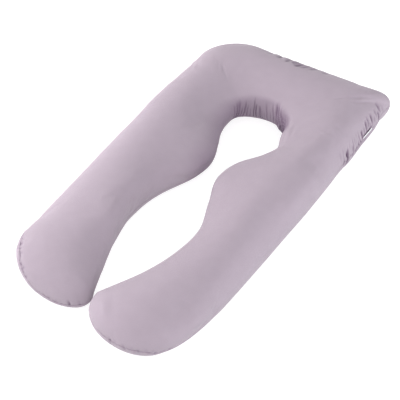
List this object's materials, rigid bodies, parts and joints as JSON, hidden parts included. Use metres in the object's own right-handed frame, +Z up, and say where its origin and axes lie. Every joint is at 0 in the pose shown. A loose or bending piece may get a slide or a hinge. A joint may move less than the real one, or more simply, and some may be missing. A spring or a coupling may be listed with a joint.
{
  "type": "body pillow",
  "caption": "U-shaped stuffed body pillow lying flat, with a round neck opening, a waisted gap between its long legs and a zip in the side seam.",
  "frame": {"origin": "on the surface that the pillow lies on, under the middle of its bounding box", "axes": "+Z up, +Y from the leg ends to the head end, +X towards the side with the zip"},
  "size_m": [0.6612, 1.3292, 0.148],
  "materials": {
    "cloth": "smooth mauve jersey knit with a soft satin sheen, gathered at the seams",
    "zip": "white woven zip tape with a fine coil"
  },
  "bodies": {
    "root": {"pillow": "cloth", "zip": "zip"}
  },
  "joints": []
}
